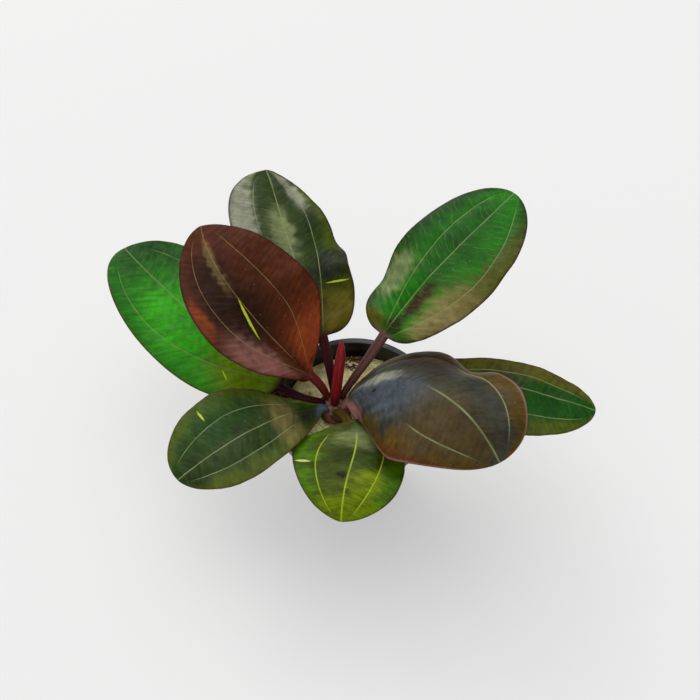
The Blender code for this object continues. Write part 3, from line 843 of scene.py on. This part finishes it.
def pot_material():
    """Black plastic that is satin on the whole, with a faint orange peel and duller scuffs."""
    g = Graph("pot_plastic")
    scuff = g.step(g.noise(180.0, 5.0, 0.65), 0.5, 0.7)
    black = g.mix(g.math("MULTIPLY", scuff, 0.5), (0.006, 0.006, 0.008), (0.022, 0.020, 0.026))
    g.put(black, g.shader.inputs["Base Color"])
    g.put(g.math("MULTIPLY_ADD", scuff, 0.2, 0.30), g.shader.inputs["Roughness"])
    g.put(g.bump(g.noise(1400.0, 2.0, 0.5), 0.00005, 0.5), g.shader.inputs["Normal"])
    return g.material


pot = build_pot()
pot.data.materials.append(pot_material())
print("net pot:", len(pot.data.polygons), "faces, with", SLOTS, "slots")

# %% [markdown]
# ## The rockwool
# Rockwool is spun stone: a felt of fine fibres that is packed round the roots. Its top is lumpy, it is cream where it
# is dry and yellow-brown where it is wet, and it catches crumbs of brown plant matter. The lumps are geometry, and the
# loose fibres and crumbs on top are thin strands with three sides.

# %% Rockwool
WOOL_TOP = 0.0398
WOOL_COLUMNS = 168
HOLLOW_AT = (-0.0167, 0.0042)
MOUND_AT = (-0.0196, 0.0048)
CRUMBS_AT = (0.0010, 0.0206)


def wool_rise(x, y):
    """Height in metres over the wool's level: soft lumps, small tufts, a mound and a hollow, sunk at the pot's wall."""
    lumps = 0.55 * waves(x / MM, y / MM, 201, 5, 11) + 0.32 * waves(x / MM, y / MM, 202, 1.4, 3.4)
    tufts = 0.16 * waves(x / MM, y / MM, 203, 0.6, 1.3)
    mound = 1.0 * np.exp(-((x - MOUND_AT[0]) ** 2 + (y - MOUND_AT[1]) ** 2) / (3.2 * MM) ** 2)
    hollow = -2.2 * np.exp(-((x - HOLLOW_AT[0]) ** 2 + (y - HOLLOW_AT[1]) ** 2) / (1.3 * MM) ** 2)
    wall = smooth_step((np.hypot(x, y) - 0.0200) / 0.0028)
    crown = np.exp(-((x - CROWN_X) ** 2 + (y - CROWN_Y) ** 2) / (7.0 * MM) ** 2)
    return ((lumps + tufts) * (1 - 0.8 * crown) + mound + hollow - 0.5 * wall) * MM


def wool_paint(x, y, rise):
    """Cream, yellower in the dips, with brown where the hollow and the crumbs are and damp blotches."""
    blotch = waves(x / MM, y / MM, 210, 3, 8)
    grain = waves(x / MM, y / MM, 211, 0.5, 1.4)
    color = np.ones(x.shape + (1,)) * light((255, 244, 190))
    damp = smooth_step(0.5 + 0.7 * blotch - 500 * rise)[..., None]
    color = color * (1 - 0.75 * damp) + light((215, 190, 120)) * 0.75 * damp
    dark = np.exp(-((x - HOLLOW_AT[0]) ** 2 + (y - HOLLOW_AT[1]) ** 2) / (1.5 * MM) ** 2)
    dark = dark + np.exp(-((x - CRUMBS_AT[0]) ** 2 / (3.2 * MM) ** 2 + (y - CRUMBS_AT[1]) ** 2 / (1.2 * MM) ** 2))
    dark = smooth_step(1.3 * dark * (1 + 0.5 * grain))[..., None]
    color = color * (1 - dark) + light((80, 50, 20)) * dark
    return np.clip(color * (1 + 0.14 * grain)[..., None], 0, 1)


def build_wool():
    """The plug: a lumpy top over a tapered side that bulges a little into the slots."""
    low = FLOOR_THICK + GAP
    flare = (MOUTH_RADIUS - BASE_RADIUS) / (POT_HEIGHT - RIM_THICK - FLOOR_THICK)
    top_radius = BASE_RADIUS - WALL + flare * (WOOL_TOP - FLOOR_THICK) - GAP
    low_radius = BASE_RADIUS - WALL - GAP + flare * (low - FLOOR_THICK)
    radius, height = rows_of(
        ((0.0006, WOOL_TOP), (top_radius, WOOL_TOP), 58),
        ((top_radius, WOOL_TOP), (low_radius, low), 40),
        ((low_radius, low), (0.0010, low), 8),
    )
    angle = np.linspace(0, 2 * pi, WOOL_COLUMNS, endpoint=False)[None, :] + np.zeros((len(radius), 1))
    radius = np.repeat(radius[:, None], WOOL_COLUMNS, axis=1)
    height = np.repeat(height[:, None], WOOL_COLUMNS, axis=1)
    x, y = radius * np.cos(angle), radius * np.sin(angle)
    on_top = (np.arange(len(radius)) <= 58)[:, None]
    rise = wool_rise(x, y)
    tuft = 0.25 * MM * waves(60 * angle / pi, height / MM, 220, 1.5, 5)
    radius = radius + np.where(on_top, 0.0, np.minimum(tuft, 0.2 * MM)) * smooth_step((WOOL_TOP - height) / 0.002)
    points, faces, first, last = turned_skin(radius, height + np.where(on_top, rise, 0.0), angle)
    piece = mesh_piece("rockwool_skin", points, faces.tolist() + first.tolist() + last.tolist())
    color = wool_paint(points[:, 0], points[:, 1], points[:, 2] - WOOL_TOP + 0.0005)
    put_attribute(piece.data, "paint", "FLOAT_COLOR", np.c_[color, np.ones(len(color))])
    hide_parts("rockwool")
    return piece


def strands(name, count, length, thick, lift, seed, around=(0.0, 0.0), reach=0.0235):
    """Many thin arcs with three sides in one mesh: a random place, way and length each, thinner at both ends."""
    rng = np.random.default_rng(seed)
    far = reach * np.sqrt(rng.uniform(0, 1, count))
    turn = rng.uniform(0, 2 * pi, count)
    x0, y0 = around[0] + far * np.cos(turn), around[1] + far * np.sin(turn)
    way, size = rng.uniform(0, 2 * pi, count), rng.uniform(*length, count)
    bow, u = rng.uniform(-0.4, 0.4, count), np.linspace(-0.5, 0.5, 6)
    a, b = size[:, None] * u, size[:, None] * bow[:, None] * (0.25 - u**2)
    x = x0[:, None] + a * np.cos(way)[:, None] - b * np.sin(way)[:, None]
    y = y0[:, None] + a * np.sin(way)[:, None] + b * np.cos(way)[:, None]
    inside = np.minimum(1.0, 0.0222 / np.maximum(np.hypot(x, y), 1e-6))
    x, y = x * inside, y * inside
    z = WOOL_TOP + wool_rise(x, y) + (thick * 0.4 + lift * rng.uniform(0, 1, count)[:, None] * (1 - 4 * u**2))
    line = np.stack([x, y, z], -1)
    ahead = np.gradient(line, axis=1)
    side = np.cross(ahead, [0.0, 0.0, 1.0])
    side /= np.linalg.norm(side, axis=2, keepdims=True) + 1e-12
    above = np.cross(side, ahead)
    above /= np.linalg.norm(above, axis=2, keepdims=True) + 1e-12
    spin = 2 * pi * np.arange(3) / 3
    taper = thick * (0.35 + 0.65 * np.sqrt(1 - (1.9 * u) ** 2))[None, :, None, None]
    out = side[:, :, None] * np.cos(spin)[:, None] + above[:, :, None] * np.sin(spin)[:, None]
    points = (line[:, :, None] + taper * out).reshape(-1, 3)
    one = ring_faces(6, 3)
    first = 18 * np.arange(count)
    quads = (one[None] + first[:, None, None]).reshape(-1, 4)
    caps = (np.array([[0, 1, 2], [17, 16, 15]])[None] + first[:, None, None]).reshape(-1, 3)
    return mesh_piece(name, points, quads.tolist() + caps.tolist())


def painted_material(name, roughness, scale, depth, specular=0.4):
    """A matte or waxy skin in the mesh's own paint, with grain in colour and relief."""
    g = Graph(name)
    grain = g.noise(scale, 5.0, 0.65)
    g.put(g.mix(g.step(grain, 0.2, 0.7), g.mix(1.0, g.attribute("paint", "Color"), (0.78, 0.75, 0.68), "MULTIPLY"),
                g.attribute("paint", "Color")), g.shader.inputs["Base Color"])
    g.put(g.math("MULTIPLY_ADD", grain, 0.2, roughness - 0.1), g.shader.inputs["Roughness"])
    g.shader.inputs["Specular IOR Level"].default_value = specular
    g.put(g.bump(grain, depth, 0.9), g.shader.inputs["Normal"])
    return g.material


def plain_material(name, color, other, roughness, scale):
    """Two close shades in clouds, for small things such as fibres and crumbs."""
    g = Graph(name)
    g.put(g.mix(g.step(g.noise(scale, 3.0), 0.35, 0.65), light(color), light(other)), g.shader.inputs["Base Color"])
    g.shader.inputs["Roughness"].default_value = roughness
    return g.material


wool = build_wool()
wool.data.materials.append(painted_material("rockwool_felt", 0.95, 1500.0, 0.0004, 0.15))
fibres = strands("wool_fibres", 460, (0.0020, 0.0058), 0.000055, 0.0007, 31)
fibres.data.materials.append(plain_material("wool_fibre", (240, 230, 180), (190, 160, 100), 0.8, 300.0))
crumbs = strands("wool_crumbs", 46, (0.0006, 0.0022), 0.00028, 0.0001, 33, CRUMBS_AT, 0.0045)
crumbs.data.materials.append(plain_material("brown_crumb", (120, 70, 40), (70, 40, 20), 0.85, 500.0))
few = strands("wool_crumbs_left", 9, (0.0005, 0.0018), 0.00022, 0.0001, 35, HOLLOW_AT, 0.0040)
few.data.materials.append(plain_material("dark_crumb", (90, 60, 30), (60, 40, 20), 0.85, 500.0))
print("rockwool:", len(wool.data.polygons), "faces and", len(fibres.data.polygons), "on the fibres")

# %% [markdown]
# ## The crown
# The crown is the plant's very short stem. Old leaf bases leave fleshy, overlapping scales round it. It could be
# sculpted, but the stalks hide most of it, so a turned skin whose radius swells in leaning scales is enough.

# %% Crown
CROWN_RADIUS = 0.0050
CROWN_COLUMNS = 96


def build_crown():
    """A low knob with seven scales, each a bulge that leans round it, and a rough top."""
    low = WOOL_TOP - 0.0004
    radius, height = rows_of(
        ((0.0003, CROWN_TOP), (CROWN_RADIUS - 0.0004, CROWN_TOP), 12),
        ((CROWN_RADIUS - 0.0004, CROWN_TOP), (CROWN_RADIUS + 0.0006, (low + CROWN_TOP) / 2), 8),
        ((CROWN_RADIUS + 0.0006, (low + CROWN_TOP) / 2), (CROWN_RADIUS, low), 8),
        ((CROWN_RADIUS, low), (0.0003, low), 5),
    )
    angle = np.linspace(0, 2 * pi, CROWN_COLUMNS, endpoint=False)[None, :] + np.zeros((len(radius), 1))
    height = height[:, None] + np.zeros_like(angle)
    lean = 3.5 * angle + 700 * (height - low)
    scale = np.abs(np.sin(lean))
    radius = radius[:, None] * (0.94 + 0.10 * np.sqrt(scale))
    rough = 0.12 * MM * waves(radius * np.cos(angle) / MM, radius * np.sin(angle) / MM, 301, 1.0, 3.0)
    on_top = np.arange(len(radius))[:, None] <= 12
    points, faces, first, last = turned_skin(radius, height + np.where(on_top, np.minimum(rough, 0.1 * MM), 0.0), angle)
    points[:, :2] += (CROWN_X, CROWN_Y)
    piece = mesh_piece("crown_skin", points, faces.tolist() + first.tolist() + last.tolist())
    share = np.append(scale.ravel(), [0.3, 0.3])[:, None]
    color = light((60, 30, 20)) * (1 - share) + light((130, 80, 60)) * share
    put_attribute(piece.data, "paint", "FLOAT_COLOR", np.c_[color, np.ones(len(color))])
    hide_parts("crown")
    return piece


crown = build_crown()
crown.data.materials.append(painted_material("crown_flesh", 0.55, 700.0, 0.0001))

# %% [markdown]
# ## The rolled young leaf
# The newest leaf comes up from the crown's middle still rolled. One edge of the blade shows as a seam that winds up
# the outside, and the tip is cut at a slant, since the rolled edges end at different heights. A spindle whose radius
# steps down round the seam shows the roll without modelling the turns that nobody sees.

# %% Young leaf
YOUNG_LENGTH = 0.0260
YOUNG_RISE = 74
YOUNG_AZIMUTH = 66
YOUNG_RADIUS = 0.0018
YOUNG_SHARES = (0.0, 0.25, 0.6, 0.85, 0.95, 1.0)
YOUNG_THICK = (0.8, 1.0, 1.0, 0.82, 0.55, 0.14)
YOUNG_ROWS = 70
YOUNG_COLUMNS = 56
YOUNG_SEAM = 215.0
YOUNG_TWIST = 60.0


def build_young():
    """A rolled spindle: round the seam the radius steps from the outer turn down to the inner one."""
    rise, azimuth = radians(YOUNG_RISE), radians(YOUNG_AZIMUTH)
    way = np.array([cos(rise) * cos(azimuth), cos(rise) * sin(azimuth), sin(rise)])
    side = np.array([-sin(azimuth), cos(azimuth), 0.0])
    share = np.linspace(0.0, 1.0, YOUNG_ROWS)[:, None]
    angle = np.linspace(0.0, 2 * pi, YOUNG_COLUMNS, endpoint=False)[None, :]
    turned = (angle - radians(YOUNG_SEAM) - radians(YOUNG_TWIST) * share) / (2 * pi) % 1.0
    wrap = 1.06 - 0.20 * turned * smooth_step((1 - turned) / 0.05) - 0.14 * smooth_step((0.04 - turned) / 0.04)
    radius = YOUNG_RADIUS * np.interp(share, YOUNG_SHARES, YOUNG_THICK) * wrap
    slant = share - 0.055 * smooth_step((share - 0.6) / 0.4) * (1 + np.cos(angle - radians(250)))
    center = np.array([CROWN_X, CROWN_Y, CROWN_TOP + GAP]) + YOUNG_LENGTH * slant[..., None] * way
    out = np.cos(angle)[..., None] * side + np.sin(angle)[..., None] * np.cross(way, side)
    rings = center + radius[..., None] * out
    points = np.vstack([rings.reshape(-1, 3), rings[0].mean(0), rings[-1].mean(0)])
    points[:, 2] = np.maximum(points[:, 2], CROWN_TOP + GAP)
    k = np.arange(YOUNG_COLUMNS)
    after, base, end = (k + 1) % YOUNG_COLUMNS, (YOUNG_ROWS - 1) * YOUNG_COLUMNS, len(points)
    foot = np.stack([k, np.full(YOUNG_COLUMNS, end - 2), after], -1)
    tip = np.stack([base + k, base + after, np.full(YOUNG_COLUMNS, end - 1)], -1)
    quads = ring_faces(YOUNG_ROWS, YOUNG_COLUMNS)[:, ::-1]
    piece = mesh_piece("leaf_young_skin", points, quads.tolist() + foot.tolist() + tip.tolist())
    seam = (bump(turned, 0.0, 0.045) + bump(turned, 1.0, 0.02))[..., None]
    stripe = (bump(turned, 0.28, 0.07) * smooth_step((1.05 - share) / 0.2))[..., None]
    mottle = waves(30 * share, 3 * angle, 401, 1.5, 5)[..., None]
    color = light((150, 20, 30)) * (1 + 0.3 * mottle)
    color = color * (1 - 0.75 * stripe) + light((180, 80, 40)) * 0.75 * stripe
    # The pale pink along the seam is the blade's pale edge with a painted highlight on it.
    color = color * (1 - 0.65 * seam) + light((220, 150, 140)) * 0.65 * seam
    foot_share = smooth_step(1 - share / 0.25)[..., None]
    color = color * (1 - foot_share) + light((90, 20, 20)) * foot_share
    color = np.vstack([color.reshape(-1, 3), color[0, 0], color[-1, 0]])
    put_attribute(piece.data, "paint", "FLOAT_COLOR", np.c_[np.clip(color, 0, 1), np.ones(len(color))])
    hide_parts("leaf_young")
    return piece


young = build_young()
young.data.materials.append(painted_material("young_leaf_wax", 0.38, 900.0, 0.00006))
print("young leaf:", len(young.data.polygons), "faces")

# %% [markdown]
# ## Light, floor and camera
# The photograph is taken from above and close by, on a white surface with soft light from behind and from the left.
# The world is dim all round and bright overhead, like a white ceiling: it lights the floor evenly and puts satin on
# the leaves that face it, while leaves that face elsewhere keep their full colour. A weak window lamp behind on the
# left gives the shadow its side. The floor glows a little, as a light table does, which keeps its shadow faint.

# %% Studio
CAMERA_AT = (-0.0014, -0.1560, 0.2800)
CAMERA_DOWN = 53.0
CAMERA_LENS = 45.4
CEILING_WAY = (-0.10, 0.30, 0.95)
CEILING_EDGE = (0.70, 0.95)
CEILING_LIGHT = (0.45, 2.2)

camera_data = bpy.data.cameras.new("camera")
camera_data.lens = CAMERA_LENS
camera_data.sensor_width = 36.0
camera_data.clip_start = 0.01
camera = bpy.data.objects.new("camera", camera_data)
camera.location = CAMERA_AT
camera.rotation_euler = (radians(90 - CAMERA_DOWN), 0.0, 0.0)
bpy.context.scene.collection.objects.link(camera)
bpy.context.scene.camera = camera


def lamp(name, place, aim, size, watts, color):
    """A square area light at a place, turned to face a point."""
    data = bpy.data.lights.new(name, "AREA")
    data.size = size
    data.energy = watts
    data.color = color
    made = bpy.data.objects.new(name, data)
    way = np.array(aim, float) - np.array(place, float)
    flat = (way[0] ** 2 + way[1] ** 2) ** 0.5
    made.location = place
    made.rotation_euler = (np.arctan2(flat, -way[2]), 0.0, np.arctan2(-way[0], way[1]))
    bpy.context.scene.collection.objects.link(made)
    return made


lamp("window", (-0.70, 1.20, 1.30), (0.0, 0.0, 0.03), 0.80, 9.0, (1.0, 0.98, 0.95))

world = bpy.data.worlds.new("studio")
world.use_nodes = True
sky = world.node_tree
ray = sky.nodes.new("ShaderNodeTexCoord").outputs["Generated"]
toward = sky.nodes.new("ShaderNodeVectorMath")
toward.operation = "DOT_PRODUCT"
toward.inputs[1].default_value = CEILING_WAY
sky.links.new(ray, toward.inputs[0])
strength = sky.nodes.new("ShaderNodeMapRange")
strength.interpolation_type = "SMOOTHSTEP"
for socket, value in zip(("From Min", "From Max", "To Min", "To Max"), CEILING_EDGE + CEILING_LIGHT):
    strength.inputs[socket].default_value = value
sky.links.new(toward.outputs["Value"], strength.inputs["Value"])
sky.links.new(strength.outputs[0], sky.nodes["Background"].inputs["Strength"])
sky.nodes["Background"].inputs["Color"].default_value = (0.97, 0.98, 1.0, 1.0)
bpy.context.scene.world = world
bpy.context.scene.view_settings.view_transform = "Standard"

FLOOR_HALF = 1.6
FLOOR_GLOW = 0.43
floor_mesh = bpy.data.meshes.new("floor")
floor_mesh.from_pydata([(x * FLOOR_HALF, y * FLOOR_HALF, 0.0) for x, y in ((-1, -1), (1, -1), (1, 1), (-1, 1))],
                       [], [(0, 1, 2, 3)])
floor = bpy.data.objects.new("floor", floor_mesh)
bpy.context.scene.collection.objects.link(floor)
paper = Graph("floor_paper")
paper.put((0.40, 0.39, 0.38), paper.shader.inputs["Base Color"])
paper.put((0.98, 0.99, 1.0), paper.shader.inputs["Emission Color"])
paper.shader.inputs["Emission Strength"].default_value = FLOOR_GLOW
paper.shader.inputs["Roughness"].default_value = 0.9
paper.shader.inputs["Specular IOR Level"].default_value = 0.1
floor_mesh.materials.append(paper.material)
print("camera at", CAMERA_AT, "looking", CAMERA_DOWN, "degrees down")

# %% [markdown]
